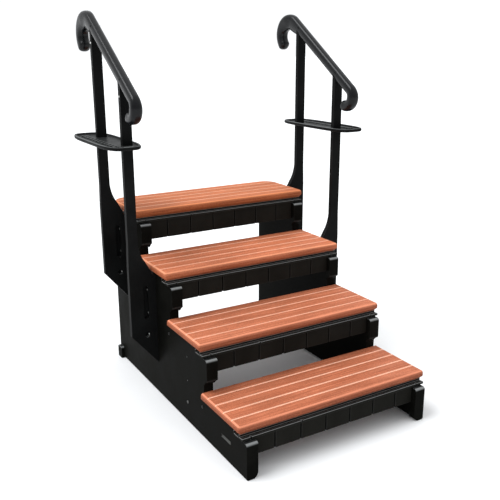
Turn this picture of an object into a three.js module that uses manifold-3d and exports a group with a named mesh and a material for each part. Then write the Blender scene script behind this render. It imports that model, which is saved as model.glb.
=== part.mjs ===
// Four-tread pool and spa entry steps with two handrails, each carrying a shelf tray.
// Units are millimetres, +Z is up, +X is to the climber's right and +Y goes up the steps.
// The origin is on the floor, at the middle of the object's length and width.
import * as THREE from 'three';
import { mergeVertices } from 'three/addons/utils/BufferGeometryUtils.js';
import Module from 'manifold-3d';

const wasm = await Module();
wasm.setup();

// ---- driving dimensions -------------------------------------------------------------------
const STEPS = 4;
const RUN = 311.5;                 // one tread's front edge to the next one's
const RISE = 207;                  // one tread's top to the next one's
const FIRST_TOP = 213;             // floor to the top of the lowest tread
const GAP = 0.3;                   // left between pieces that touch

const TREAD = { length: 914, depth: 308, thickness: 38, rearChamfer: 2 };
const TREAD_GROOVE = { pitch: 64, width: 5, depth: 3 };
const TREAD_NOSE = { topInset: 9, shoulderInset: 3, shoulderDrop: 4, drop: 17, half: 6, underInset: 14 };
const TREAD_POCKET = { bays: 3, rib: 12, skin: 10, endMargin: 20, frontMargin: 66, rearMargin: 58 };
const TOP_TREAD_CORNER = 70;       // plan radius of the top tread's two rear corners

const PANEL = { inner: 398, outer: 440, wall: 4, rearY: 1266, blockReach: 28 };
const PANEL_BLOCK = { inner: 390, topDrop: 62, bottomDrop: 158, slope: 22, edge: 10 };
const PANEL_FOOT_RADIUS = 24;      // round on the inner bottom edge of each panel
const PANEL_DRAIN = { inset: 6, width: 8, length: 20 };
const JOINT_BOLT_PLACE = { inset: 14, drop: 280 };
const HAND_SLOT = { fromY: 94, toY: 166, drop: 118, height: 14, depth: 3 };

const BEAM = { wall: 6, bottomDrop: 131, ledgeReach: 8, ledgeHalf: 448, ledgeDrop: 46 };
const TOP_BEAM_EXTRA = 10;         // the top step's apron is this much deeper
const BEAM_SEAT_DROP = 56;         // tread top to the panel seat that carries the beam's flange
const BEAM_FLANGE_DEPTH = 58;
const BEAM_GROOVE = { count: 6, pitch: 119.5, width: 4, depth: 2.5 };
const REAR_BEAM = { inset: 4, flange: 44 };

const POST = { width: 44, depth: 22, centreX: 537, offsetY: 152 };
const FOOT = { outerX: 562, bottomDrop: 320, seatDrop: 467, tuckDrop: 42, tuckX: 459, tuckTopDrop: 28 };
const FLARE = { top: 104, pull: 52, pullInset: 6, bottom: 22, bottomInset: 28 };
const FOOT_SLOT = { fromX: 476, toX: 500, topDrop: 90, bottomDrop: 248, backWall: 4 };
const FOOT_BOLT_DROPS = [112, 220, 322];
const FOOT_POCKET = 12;            // half-size of the pocket round the lowest bolt

const RAIL = { halfWidth: 22, halfHeight: 24, abovePitch: 686, rearBend: 77, frontBend: 42, sides: 12 };
const RAIL_FRONT = { startY: 673, turn: 170, pieces: 9 };     // the front scroll, its turn in degrees
const RAIL_REAR = { startY: 1143, turn: 160, pieces: 10 };    // the rear crook, its turn in degrees
const RAIL_SEAT_SHARE = 0.4;       // how far up into the rail each post reaches, share of its half height
const RAIL_CAP_SHARE = 0.985;      // the rail's rounded ends, as a share of its section
const RAIL_SCREW_DROP = 62;        // rail centreline to the screw in the post's head

const TRAY = { centreX: 568, halfWidth: 82, halfLength: 270, shiftY: 8, top: 1164, thickness: 17 };
const TRAY_RECESS = { rim: 11, depth: 9 };
const TRAY_OUTLINE = { roundness: 3.2, points: 40 };          // a superellipse and its exponent

const BOLT = { head: 7, headHeight: 4, crown: 2.4, crownRadius: 4.2, shank: 3.5, length: 24, segments: 10 };
const FOOT_BOLT = { ...BOLT, head: 5.4, crownRadius: 3.2, length: 60 };
const SCREW = { ...BOLT, head: 5, headHeight: 2.5, crown: 1.5, crownRadius: 3, shank: 2.5, length: 16 };
const REAR_PAD = { height: 60, length: 46, reach: 17, inset: 4, chamfer: 8 };
const OVERCUT = 1;                 // how far a cut runs past the face it starts from
const CURVE_SEGMENTS = 6;          // straight pieces in each curved stretch of an outline

// ---- derived positions --------------------------------------------------------------------
const PITCH = Math.atan2(RISE, RUN);
const frontOf = (step) => (step - 1) * RUN;
const topOf = (step) => FIRST_TOP + (step - 1) * RISE;
const railHeight = (y) => FIRST_TOP + (y / RUN) * RISE + RAIL.abovePitch;
const RAIL_STEPS = [STEPS - 1, STEPS];
const postY = (step) => frontOf(step) + POST.offsetY;

// ---- materials ----------------------------------------------------------------------------
const redwood = () => new THREE.MeshStandardMaterial({ color: 0xc07a58, roughness: 0.75, metalness: 0 });
const frameBlack = () => new THREE.MeshStandardMaterial({ color: 0x262826, roughness: 0.6, metalness: 0 });
const railBlack = () => new THREE.MeshStandardMaterial({ color: 0x2c2f31, roughness: 0.42, metalness: 0 });
const steel = () => new THREE.MeshStandardMaterial({ color: 0xb4b8ba, roughness: 0.35, metalness: 1 });

// ---- solids -------------------------------------------------------------------------------
function toSolid(geometry) {
  const bare = geometry.clone();
  bare.deleteAttribute('normal');
  bare.deleteAttribute('uv');
  const merged = mergeVertices(bare, 1e-4);
  const vertProperties = new Float32Array(merged.attributes.position.array);
  const triVerts = new Uint32Array(merged.index.array);
  return new wasm.Manifold(new wasm.Mesh({ numProp: 3, vertProperties, triVerts }));
}

function toGeometry(solid) {
  const mesh = solid.getMesh();
  const geometry = new THREE.BufferGeometry();
  geometry.setAttribute('position', new THREE.BufferAttribute(new Float32Array(mesh.vertProperties), 3));
  geometry.setIndex(new THREE.BufferAttribute(new Uint32Array(mesh.triVerts), 1));
  geometry.computeVertexNormals();
  return geometry;
}

// The same piece on the other side of the object.
function mirrored(geometry) {
  const copy = geometry.clone();
  const position = copy.attributes.position;
  for (let i = 0; i < position.count; i += 1) {
    position.setX(i, -position.getX(i));
  }
  const index = Array.from(copy.index.array);
  for (let i = 0; i < index.length; i += 3) {
    [index[i], index[i + 1]] = [index[i + 1], index[i]];
  }
  copy.setIndex(index);
  copy.computeVertexNormals();
  return copy;
}

function outline(points) {
  return new THREE.Shape(points.map(([a, b]) => new THREE.Vector2(a, b)));
}

const axisX = new THREE.Vector3(1, 0, 0);
const axisY = new THREE.Vector3(0, 1, 0);
const axisZ = new THREE.Vector3(0, 0, 1);
const prismXBasis = new THREE.Matrix4().makeBasis(axisY, axisZ, axisX);
const prismYBasis = new THREE.Matrix4().makeBasis(axisX, axisZ, axisY.clone().negate());

function extruded(shape, depth) {
  return new THREE.ExtrudeGeometry(shape, { depth, bevelEnabled: false, curveSegments: CURVE_SEGMENTS });
}

// An outline in (y, z), pushed from x0 to x1.
function prismX(shape, x0, x1) {
  const geometry = extruded(shape, x1 - x0);
  geometry.applyMatrix4(prismXBasis);
  geometry.translate(x0, 0, 0);
  return toSolid(geometry);
}

// An outline in (x, z), pushed from y0 to y1.
function prismY(shape, y0, y1) {
  const geometry = extruded(shape, y1 - y0);
  geometry.applyMatrix4(prismYBasis);
  geometry.translate(0, y1, 0);
  return toSolid(geometry);
}

// An outline in (x, y), pushed from z0 to z1.
function prismZ(shape, z0, z1) {
  const geometry = extruded(shape, z1 - z0);
  geometry.translate(0, 0, z0);
  return toSolid(geometry);
}

function block([x0, x1], [y0, y1], [z0, z1]) {
  const geometry = new THREE.BoxGeometry(x1 - x0, y1 - y0, z1 - z0);
  geometry.translate((x0 + x1) / 2, (y0 + y1) / 2, (z0 + z1) / 2);
  return toSolid(geometry);
}

function rodX(radius, y, z, x0, x1, segments) {
  const geometry = new THREE.CylinderGeometry(radius, radius, x1 - x0, segments);
  geometry.rotateZ(Math.PI / 2);
  geometry.translate((x0 + x1) / 2, y, z);
  return toSolid(geometry);
}

// A dome-headed fastener: the head's underside is at the origin and the shank points along -X.
function fastener(size) {
  const profile = [
    [0, -size.length],
    [size.shank, -size.length],
    [size.shank, 0],
    [size.head, 0],
    [size.head, size.headHeight - size.crown],
    [size.crownRadius, size.headHeight],
    [0, size.headHeight],
  ];
  const geometry = new THREE.LatheGeometry(outline(profile).getPoints(), size.segments);
  geometry.rotateZ(-Math.PI / 2);
  return toGeometry(toSolid(geometry));
}

// ---- treads -------------------------------------------------------------------------------
// The moulded edge: chamfered shoulder, blunt nose and an undercut below it.
function noseProfile(edge, inward, top) {
  const nose = TREAD_NOSE;
  return [
    [edge + inward * nose.underInset, top - TREAD.thickness],
    [edge, top - nose.drop - nose.half],
    [edge, top - nose.drop + nose.half],
    [edge + inward * nose.shoulderInset, top - nose.shoulderDrop],
    [edge + inward * nose.topInset, top],
  ];
}

function treadBoard(step) {
  const front = frontOf(step);
  const rear = front + TREAD.depth;
  const top = topOf(step);
  const half = TREAD.length / 2;
  const section = [...noseProfile(front, 1, top)];
  const { pitch, width, depth } = TREAD_GROOVE;
  for (let y = front + pitch; y < rear - pitch / 2; y += pitch) {
    section.push([y - width / 2, top]);
    section.push([y - width / 4, top - depth]);
    section.push([y + width / 4, top - depth]);
    section.push([y + width / 2, top]);
  }
  section.push([rear - TREAD.rearChamfer, top]);
  section.push([rear, top - TREAD.rearChamfer]);
  section.push([rear, top - TREAD.thickness]);
  const ends = [...noseProfile(-half, 1, top), ...noseProfile(half, -1, top).reverse()];
  let board = prismX(outline(section.reverse()), -half, half);
  board = board.intersect(prismY(outline(ends.reverse()), front, rear));
  if (step === STEPS) {
    board = board.intersect(prismZ(roundedRear(half, front, rear), top - TREAD.thickness, top));
  }
  return toGeometry(board.subtract(treadHollows(front, top)));
}

function roundedRear(half, front, rear) {
  const radius = TOP_TREAD_CORNER;
  const shape = new THREE.Shape();
  shape.moveTo(-half, front);
  shape.lineTo(half, front);
  shape.lineTo(half, rear - radius);
  shape.absarc(half - radius, rear - radius, radius, 0, Math.PI / 2, false);
  shape.lineTo(radius - half, rear);
  shape.absarc(radius - half, rear - radius, radius, Math.PI / 2, Math.PI, false);
  return shape;
}

// Pockets under the board, between the seats on the side panels, the beams and the cross ribs.
function treadHollows(front, top) {
  const { bays, rib, skin, endMargin, frontMargin, rearMargin } = TREAD_POCKET;
  const half = PANEL.inner - endMargin;
  const pitch = (2 * half + rib) / bays;
  const pocketY = [front + frontMargin, front + TREAD.depth - rearMargin];
  const pocketZ = [top - TREAD.thickness - OVERCUT, top - skin];
  let hollows = null;
  for (let bay = 0; bay < bays; bay += 1) {
    const x = bay * pitch - half;
    const pocket = block([x, x + pitch - rib], pocketY, pocketZ);
    hollows = hollows ? hollows.add(pocket) : pocket;
  }
  return hollows;
}

// ---- cross beams --------------------------------------------------------------------------
const beamBottom = (step) => topOf(step) - BEAM.bottomDrop - (step === STEPS ? TOP_BEAM_EXTRA : 0);

// Front beam: a grooved apron under each tread, with a flange and a lip that sit on the panels.
function frontBeam(step) {
  const front = frontOf(step);
  const top = topOf(step);
  const seat = top - BEAM_SEAT_DROP;
  const bottom = beamBottom(step);
  const half = PANEL.inner - GAP;
  const flangeTop = top - TREAD.thickness - GAP;
  const flangeRear = front + BEAM_FLANGE_DEPTH;
  const lipRear = front + TREAD_NOSE.underInset;
  const flangeSection = [
    [front - BEAM.ledgeReach, seat],
    [flangeRear, seat],
    [flangeRear, flangeTop],
    [flangeRear - BEAM.wall, flangeTop],
    [flangeRear - BEAM.wall, seat + BEAM.wall],
    [lipRear + BEAM.wall, seat + BEAM.wall],
    [lipRear + BEAM.wall, flangeTop],
    [lipRear, flangeTop],
    [lipRear, top - BEAM.ledgeDrop],
    [front - BEAM.ledgeReach, top - BEAM.ledgeDrop],
  ];
  const apron = block([-half, half], [front, front + BEAM.wall], [bottom, seat + OVERCUT]);
  let beam = apron.add(prismX(outline(flangeSection), -BEAM.ledgeHalf, BEAM.ledgeHalf));
  for (let n = 0; n < BEAM_GROOVE.count; n += 1) {
    const x = (n - (BEAM_GROOVE.count - 1) / 2) * BEAM_GROOVE.pitch;
    const grooveX = [x - BEAM_GROOVE.width / 2, x + BEAM_GROOVE.width / 2];
    const grooveY = [front - OVERCUT, front + BEAM_GROOVE.depth];
    beam = beam.subtract(block(grooveX, grooveY, [bottom - OVERCUT, seat]));
  }
  return toGeometry(beam);
}

// Rear beam: a plain channel that carries the back of each tread between the panels.
function rearBeam(step) {
  const rear = frontOf(step) + TREAD.depth - REAR_BEAM.inset;
  const top = topOf(step) - TREAD.thickness - GAP;
  const bottom = beamBottom(step);
  const flangeFront = rear - REAR_BEAM.flange;
  const section = [
    [rear, top],
    [flangeFront, top],
    [flangeFront, top - BEAM.wall],
    [rear - BEAM.wall, top - BEAM.wall],
    [rear - BEAM.wall, bottom + BEAM.wall],
    [flangeFront, bottom + BEAM.wall],
    [flangeFront, bottom],
    [rear, bottom],
  ];
  return toGeometry(prismX(outline(section), -(PANEL.inner - GAP), PANEL.inner - GAP));
}

// ---- side panels --------------------------------------------------------------------------
function panelProfile(step, inset) {
  const front = frontOf(step) + inset;
  const rear = (step === STEPS ? PANEL.rearY : frontOf(step + 1) - GAP) - inset;
  const top = topOf(step);
  const seat = top - BEAM_SEAT_DROP - GAP - inset;
  const shelf = top - TREAD.thickness - GAP - inset;
  const flangeEnd = frontOf(step) + BEAM_FLANGE_DEPTH + GAP + inset;
  const shape = new THREE.Shape();
  shape.moveTo(rear, inset);
  shape.lineTo(rear, shelf);
  shape.lineTo(flangeEnd, shelf);
  shape.lineTo(flangeEnd, seat);
  shape.lineTo(front, seat);
  addBlockOutline(shape, step, front, inset);
  if (step > 1) {
    shape.lineTo(front, inset);
  }
  return shape;
}

// The front block: level on top, with a sloping underside except where it stands on the floor.
function addBlockOutline(shape, step, rear, inset) {
  const edge = PANEL_BLOCK.edge;
  const top = topOf(step) - PANEL_BLOCK.topDrop - inset;
  const bottom = topOf(step) - PANEL_BLOCK.bottomDrop + inset;
  const front = frontOf(step) - PANEL.blockReach + inset;
  shape.lineTo(rear, top);
  shape.lineTo(front + edge, top);
  shape.absarc(front + edge, top - edge, edge, Math.PI / 2, Math.PI, false);
  if (step === 1) {
    shape.lineTo(front, inset);
    return;
  }
  shape.lineTo(front, bottom + edge);
  shape.absarc(front + edge, bottom + edge, edge, Math.PI, Math.PI * 1.5, false);
  shape.lineTo(rear, bottom - PANEL_BLOCK.slope);
}

// The part of the front block that stands inwards of the panel, in front of the beam's apron.
function blockLedge(step) {
  const rear = frontOf(step) - GAP;
  const shape = new THREE.Shape();
  shape.moveTo(rear, topOf(step) - PANEL_BLOCK.topDrop);
  addBlockOutline(shape, step, rear, 0);
  if (step === 1) {
    shape.lineTo(rear, 0);
  }
  return prismX(shape, PANEL_BLOCK.inner, PANEL.outer - PANEL.wall);
}

function panelSection(inner, inset) {
  const radius = PANEL_FOOT_RADIUS - inset;
  const tallest = topOf(STEPS);
  const shape = new THREE.Shape();
  shape.moveTo(inner + inset + radius, inset);
  shape.lineTo(PANEL.outer - inset, inset);
  shape.lineTo(PANEL.outer - inset, tallest);
  shape.lineTo(inner + inset, tallest);
  shape.lineTo(inner + inset, inset + radius);
  shape.absarc(inner + inset + radius, inset + radius, radius, Math.PI, Math.PI * 1.5, false);
  return shape;
}

// One hollow side panel for one step, on the right-hand side.
function sidePanel(step) {
  const reach = [frontOf(step) - PANEL.blockReach - OVERCUT, PANEL.rearY + OVERCUT];
  const skin = prismX(panelProfile(step, 0), PANEL.inner, PANEL.outer)
    .intersect(prismY(panelSection(PANEL.inner, 0), ...reach));
  const ledge = blockLedge(step).intersect(prismY(panelSection(PANEL_BLOCK.inner, 0), ...reach));
  const cavity = prismX(panelProfile(step, PANEL.wall), PANEL.inner, PANEL.outer)
    .intersect(prismY(panelSection(PANEL.inner, PANEL.wall), ...reach));
  const drainX = PANEL.outer - PANEL_DRAIN.inset;
  const drainY = frontOf(step) + RUN / 2;
  const drain = block(
    [drainX - PANEL_DRAIN.width, drainX],
    [drainY - PANEL_DRAIN.length / 2, drainY + PANEL_DRAIN.length / 2],
    [-OVERCUT, PANEL.wall + OVERCUT],
  );
  let panel = skin.add(ledge).subtract(cavity).subtract(drain);
  if (step === 1) {
    const slotZ = topOf(step) - HAND_SLOT.drop;
    return toGeometry(panel.subtract(block(
      [PANEL.outer - HAND_SLOT.depth, PANEL.outer + OVERCUT],
      [HAND_SLOT.fromY, HAND_SLOT.toY],
      [slotZ - HAND_SLOT.height / 2, slotZ + HAND_SLOT.height / 2],
    )));
  }
  const holes = FOOT_BOLT_DROPS.map((drop) => [postY(step), topOf(step) - drop]);
  holes.push(jointPlace(step));
  const through = [PANEL.outer - PANEL.wall - OVERCUT, PANEL.outer + OVERCUT];
  for (const [y, z] of holes) {
    panel = panel.subtract(rodX(BOLT.shank + GAP, y, z, ...through, BOLT.segments));
  }
  return toGeometry(panel);
}

// The bolt low on each upper panel's front column, where it is joined to the panel ahead of it.
function jointPlace(step) {
  return [frontOf(step) + JOINT_BOLT_PLACE.inset, topOf(step) - JOINT_BOLT_PLACE.drop];
}

// ---- handrails ----------------------------------------------------------------------------
// A circular arc in the handrail's upright plane; angles are from +Y towards +Z.
class RailArc extends THREE.Curve {
  constructor(centreY, centreZ, radius, fromAngle, toAngle) {
    super();
    Object.assign(this, { centreY, centreZ, radius, fromAngle, toAngle });
  }

  getPoint(t, target = new THREE.Vector3()) {
    const angle = this.fromAngle + (this.toAngle - this.fromAngle) * t;
    const y = this.centreY + this.radius * Math.cos(angle);
    const z = this.centreZ + this.radius * Math.sin(angle);
    return target.set(POST.centreX, y, z);
  }
}

function railPath() {
  const radians = THREE.MathUtils.degToRad;
  const tangentAngle = Math.PI / 2 + PITCH;
  const bendCentre = (y, radius) => [
    y - radius * Math.cos(tangentAngle),
    railHeight(y) - radius * Math.sin(tangentAngle),
  ];
  const [frontY, frontZ] = bendCentre(RAIL_FRONT.startY, RAIL.frontBend);
  const [rearY, rearZ] = bendCentre(RAIL_REAR.startY, RAIL.rearBend);
  const frontEnd = tangentAngle + radians(RAIL_FRONT.turn);
  const rearEnd = tangentAngle - radians(RAIL_REAR.turn);
  const front = new RailArc(frontY, frontZ, RAIL.frontBend, frontEnd, tangentAngle);
  const rear = new RailArc(rearY, rearZ, RAIL.rearBend, tangentAngle, rearEnd);
  const path = new THREE.CurvePath();
  path.add(front);
  path.add(new THREE.LineCurve3(front.getPoint(1), rear.getPoint(0)));
  path.add(rear);
  return path;
}

function railPoints(path) {
  const [front, straight, rear] = path.curves;
  const points = [];
  for (let i = 0; i < RAIL_FRONT.pieces; i += 1) {
    points.push(front.getPoint(i / RAIL_FRONT.pieces));
  }
  points.push(straight.getPoint(0));
  for (let i = 0; i <= RAIL_REAR.pieces; i += 1) {
    points.push(rear.getPoint(i / RAIL_REAR.pieces));
  }
  return points;
}

// A polyline that an extrusion follows point by point.
class Polyline extends THREE.Curve {
  constructor(points) {
    super();
    this.points = points;
  }

  getPoint(t, target = new THREE.Vector3()) {
    const place = t * (this.points.length - 1);
    const index = Math.min(Math.floor(place), this.points.length - 2);
    return target.lerpVectors(this.points[index], this.points[index + 1], place - index);
  }

  getPointAt(u, target) {
    return this.getPoint(u, target);
  }

  getTangent(t, target = new THREE.Vector3()) {
    const last = this.points.length - 1;
    const index = Math.round(t * last);
    const before = this.points[Math.max(index - 1, 0)];
    const after = this.points[Math.min(index + 1, last)];
    return target.subVectors(after, before).normalize();
  }

  getTangentAt(u, target) {
    return this.getTangent(u, target);
  }

  getSpacedPoints(divisions) {
    return Array.from({ length: divisions + 1 }, (unused, i) => this.getPoint(i / divisions));
  }
}

// The rail is a little taller than it is wide; margin makes it bigger all round.
function railTube(margin) {
  const points = railPoints(railPath());
  const halfWidth = RAIL.halfWidth + margin;
  const halfHeight = RAIL.halfHeight + margin;
  const section = new THREE.Shape();
  section.absellipse(0, 0, halfWidth, halfHeight, 0, Math.PI * 2, false);
  const geometry = new THREE.ExtrudeGeometry(section, {
    steps: points.length - 1,
    curveSegments: RAIL.sides / 2,
    extrudePath: new Polyline(points),
  });
  let tube = toSolid(geometry);
  for (const end of [points[0], points[points.length - 1]]) {
    const cap = new THREE.SphereGeometry(halfHeight * RAIL_CAP_SHARE, RAIL.sides, RAIL.sides / 2);
    cap.rotateX(Math.PI / 2);
    cap.scale(halfWidth / halfHeight, 1, 1);
    cap.translate(end.x, end.y, end.z);
    tube = tube.add(toSolid(cap));
  }
  return tube;
}

// A flat upright whose foot widens inwards below tread level and bolts to the side panel.
function postOutline(step) {
  const top = topOf(step);
  const outer = POST.centreX + POST.width / 2;
  const inner = POST.centreX - POST.width / 2;
  const head = railHeight(postY(step)) - RAIL.halfHeight * RAIL_SEAT_SHARE;
  const seatX = PANEL.outer + GAP;
  const shape = new THREE.Shape();
  shape.moveTo(seatX, top - FOOT.seatDrop);
  shape.lineTo(FOOT.outerX, top - FOOT.bottomDrop);
  shape.lineTo(FOOT.outerX, top);
  shape.lineTo(outer, top + FLARE.top);
  shape.lineTo(outer, head);
  shape.lineTo(inner, head);
  shape.lineTo(inner, top + FLARE.top);
  const flareEnd = [inner - FLARE.bottomInset, top + FLARE.bottom];
  shape.quadraticCurveTo(inner - FLARE.pullInset, top + FLARE.pull, ...flareEnd);
  shape.lineTo(FOOT.tuckX, top - FOOT.tuckTopDrop);
  shape.lineTo(FOOT.tuckX, top - FOOT.tuckDrop);
  shape.lineTo(seatX, top - FOOT.tuckDrop);
  return shape;
}

function post(step) {
  const top = topOf(step);
  const centre = postY(step);
  const boltHeights = FOOT_BOLT_DROPS.map((drop) => top - drop);
  const lowest = Math.min(...boltHeights);
  const slotX = [FOOT_SLOT.fromX, FOOT_SLOT.toX];
  const slotY = [centre - POST.depth, centre + POST.depth / 2 - FOOT_SLOT.backWall];
  const slot = block(slotX, slotY, [top - FOOT_SLOT.bottomDrop, top - FOOT_SLOT.topDrop]);
  const pocket = block(slotX, slotY, [lowest - FOOT_POCKET, lowest + FOOT_POCKET]);
  let upright = prismY(postOutline(step), centre - POST.depth / 2, centre + POST.depth / 2);
  upright = upright.subtract(slot).subtract(pocket);
  const boltHole = [PANEL.outer - OVERCUT, FOOT_SLOT.fromX + OVERCUT];
  for (const z of boltHeights) {
    upright = upright.subtract(rodX(BOLT.shank + GAP, centre, z, ...boltHole, BOLT.segments));
  }
  const [screwX, screwZ] = railScrewPlace(step);
  const screwHole = [screwX - SCREW.length - OVERCUT, screwX + OVERCUT];
  upright = upright.subtract(rodX(SCREW.shank + GAP, centre, screwZ, ...screwHole, SCREW.segments));
  return toGeometry(upright.subtract(railTube(GAP)));
}

// Screw through the outer face of each post's head, just below the rail.
function railScrewPlace(step) {
  return [POST.centreX + POST.width / 2, railHeight(postY(step)) - RAIL_SCREW_DROP];
}

// ---- trays --------------------------------------------------------------------------------
function trayOutline(inset) {
  const centreY = (postY(STEPS - 1) + postY(STEPS)) / 2 + TRAY.shiftY;
  const power = 2 / TRAY_OUTLINE.roundness;
  const bend = (value) => Math.sign(value) * Math.abs(value) ** power;
  const points = [];
  for (let i = 0; i < TRAY_OUTLINE.points; i += 1) {
    const angle = (i / TRAY_OUTLINE.points) * Math.PI * 2;
    const x = TRAY.centreX + (TRAY.halfWidth - inset) * bend(Math.cos(angle));
    const y = centreY + (TRAY.halfLength - inset) * bend(Math.sin(angle));
    points.push([x, y]);
  }
  return outline(points);
}

function tray() {
  let plate = prismZ(trayOutline(0), TRAY.top - TRAY.thickness, TRAY.top);
  const floor = TRAY.top - TRAY_RECESS.depth;
  plate = plate.subtract(prismZ(trayOutline(TRAY_RECESS.rim), floor, TRAY.top + OVERCUT));
  for (const step of RAIL_STEPS) {
    const y = postY(step);
    plate = plate.subtract(block(
      [POST.centreX - POST.width / 2 - GAP, POST.centreX + POST.width / 2 + GAP],
      [y - POST.depth / 2 - GAP, y + POST.depth / 2 + GAP],
      [TRAY.top - TRAY.thickness - OVERCUT, TRAY.top + OVERCUT],
    ));
  }
  return toGeometry(plate);
}

// ---- rear floor pads ----------------------------------------------------------------------
function rearPad() {
  const rear = PANEL.rearY - REAR_PAD.inset;
  const front = rear - REAR_PAD.length;
  const shoulder = REAR_PAD.height - REAR_PAD.chamfer;
  const section = [
    [front, 0],
    [rear, 0],
    [rear, shoulder],
    [rear - REAR_PAD.chamfer, REAR_PAD.height],
    [front + REAR_PAD.chamfer, REAR_PAD.height],
    [front, shoulder],
  ];
  const inner = PANEL.outer + GAP;
  return toGeometry(prismX(outline(section), inner, inner + REAR_PAD.reach));
}

// ---- assembly -----------------------------------------------------------------------------
const steps = new THREE.Group();
const sides = [['right', (geometry) => geometry], ['left', mirrored]];

function addPiece(name, geometry, material, place = [0, 0, 0]) {
  const mesh = new THREE.Mesh(geometry, material);
  mesh.name = name;
  mesh.position.set(...place);
  steps.add(mesh);
}

const bolt = fastener(BOLT);
const footBolt = fastener(FOOT_BOLT);
const screw = fastener(SCREW);

for (let step = 1; step <= STEPS; step += 1) {
  addPiece(`tread_${step}`, treadBoard(step), redwood());
  addPiece(`front_beam_${step}`, frontBeam(step), frameBlack());
  addPiece(`rear_beam_${step}`, rearBeam(step), frameBlack());
}

for (const [side, toSide] of sides) {
  const sign = side === 'right' ? 1 : -1;
  for (let step = 1; step <= STEPS; step += 1) {
    addPiece(`side_panel_${step}_${side}`, toSide(sidePanel(step)), frameBlack());
    if (step > 1) {
      const [y, z] = jointPlace(step);
      const place = [sign * (PANEL.outer + GAP), y, z];
      addPiece(`panel_joint_bolt_${step}_${side}`, toSide(bolt), steel(), place);
    }
  }
  addPiece(`rear_pad_${side}`, toSide(rearPad()), frameBlack());

  // The panel of step 2 has the same row of holes as the railed steps, with only its lowest bolt in.
  const lowestDrop = FOOT_BOLT_DROPS[FOOT_BOLT_DROPS.length - 1];
  const spare = [sign * (PANEL.outer + GAP), postY(2), topOf(2) - lowestDrop];
  addPiece(`side_bolt_2_${side}`, toSide(bolt), steel(), spare);

  for (const step of RAIL_STEPS) {
    const where = step === STEPS ? 'rear' : 'front';
    addPiece(`post_${where}_${side}`, toSide(post(step)), railBlack());
    FOOT_BOLT_DROPS.forEach((drop, index) => {
      const headX = FOOT_SLOT.fromX + GAP;
      const place = [sign * headX, postY(step), topOf(step) - drop];
      addPiece(`foot_bolt_${where}_${index + 1}_${side}`, toSide(footBolt), steel(), place);
    });
    const [x, z] = railScrewPlace(step);
    addPiece(`rail_screw_${where}_${side}`, toSide(screw), steel(), [sign * (x + GAP), postY(step), z]);
  }
  addPiece(`handrail_${side}`, toSide(toGeometry(railTube(0))), railBlack());
  addPiece(`tray_${side}`, toSide(tray()), frameBlack());
}

// The frontmost faces are the lowest panels' blocks; the rearmost are the handrails' crooks.
const rearmost = new THREE.Box3().setFromObject(steps).max.y;
steps.position.y = (PANEL.blockReach - rearmost) / 2;

const ladder = new THREE.Group();
ladder.add(steps);
export default ladder;
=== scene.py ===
"""Looks for four-tread pool and spa entry steps with two handrails, each carrying a shelf tray.

Metres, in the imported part's frame: +X to the climber's right, +Y up the steps, +Z up.
"""
import math

import bmesh
import bpy
from mathutils import Matrix, Vector


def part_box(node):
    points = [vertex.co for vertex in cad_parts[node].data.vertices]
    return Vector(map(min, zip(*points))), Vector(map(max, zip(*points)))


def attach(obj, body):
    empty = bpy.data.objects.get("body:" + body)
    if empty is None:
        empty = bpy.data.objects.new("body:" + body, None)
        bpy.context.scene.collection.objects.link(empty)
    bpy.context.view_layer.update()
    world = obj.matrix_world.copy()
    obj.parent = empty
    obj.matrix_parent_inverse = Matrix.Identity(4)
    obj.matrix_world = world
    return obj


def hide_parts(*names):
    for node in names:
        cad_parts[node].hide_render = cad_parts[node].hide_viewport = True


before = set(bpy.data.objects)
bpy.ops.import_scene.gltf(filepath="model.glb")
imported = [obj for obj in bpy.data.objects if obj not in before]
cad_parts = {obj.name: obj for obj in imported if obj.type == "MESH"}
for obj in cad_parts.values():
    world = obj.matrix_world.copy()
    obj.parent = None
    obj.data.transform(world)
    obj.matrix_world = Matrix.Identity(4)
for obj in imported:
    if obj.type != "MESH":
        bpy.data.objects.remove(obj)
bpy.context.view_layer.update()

MM = 0.001
STEPS = (1, 2, 3, 4)
RAIL_STEPS = {"front": 3, "rear": 4}
SIDES = {"right": 1, "left": -1}
GAP = 0.3 * MM
# How far cutters and hidden overlaps run past a surface.
PAST = 1 * MM
WELL_PAST = 5 * MM

# ---- sizes read off the frame ---------------------------------------------------------------
tread_low, tread_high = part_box("tread_1")
next_low, next_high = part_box("tread_2")
RUN = next_low.y - tread_low.y
RISE = next_high.z - tread_high.z
PITCH = math.atan2(RISE, RUN)
TREAD_HALF = tread_high.x
PANEL_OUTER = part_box("side_panel_1_right")[1].x
PANEL_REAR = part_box("side_panel_4_right")[1].y
BLOCK_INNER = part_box("side_panel_1_right")[0].x
BLOCK_REACH = tread_low.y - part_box("side_panel_1_right")[0].y
POST_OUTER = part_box("post_front_right")[1].x
POST_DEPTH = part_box("post_front_right")[1].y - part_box("post_front_right")[0].y

# ---- sizes of the finer shapes --------------------------------------------------------------
# Drops are measured down from the top of a step's tread, and x from the middle of the steps.
PANEL_INNER = 398 * MM
SEAT_DROP = 56 * MM
SHELF_DROP = 38 * MM
FLANGE_DEPTH = 58 * MM
BLOCK = {
    "top": 62 * MM, "bottom": 158 * MM, "slope": 22 * MM, "edge": 10 * MM,
    "join": 12 * MM, "clear": 20 * MM,
}
FOOT_ROUND = 26 * MM
HEEL_ROUND = 8 * MM
POST = {"centre": 537 * MM, "width": 44 * MM, "offset": 152 * MM}
BOLT_DROPS = (112 * MM, 220 * MM, 322 * MM)
RAIL = {"half_width": 22 * MM, "half_height": 24 * MM, "above": 686 * MM}
SCROLL = {"start": 673 * MM, "radius": 42 * MM, "turn": math.radians(163)}
CROOK = {"start": 1143 * MM, "radius": 76.7 * MM, "turn": math.radians(166)}


def front_of(step):
    """The front edge of a step's tread."""
    return tread_low.y + (step - 1) * RUN


def top_of(step):
    return tread_high.z + (step - 1) * RISE


def post_y(step):
    return front_of(step) + POST["offset"]


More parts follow.
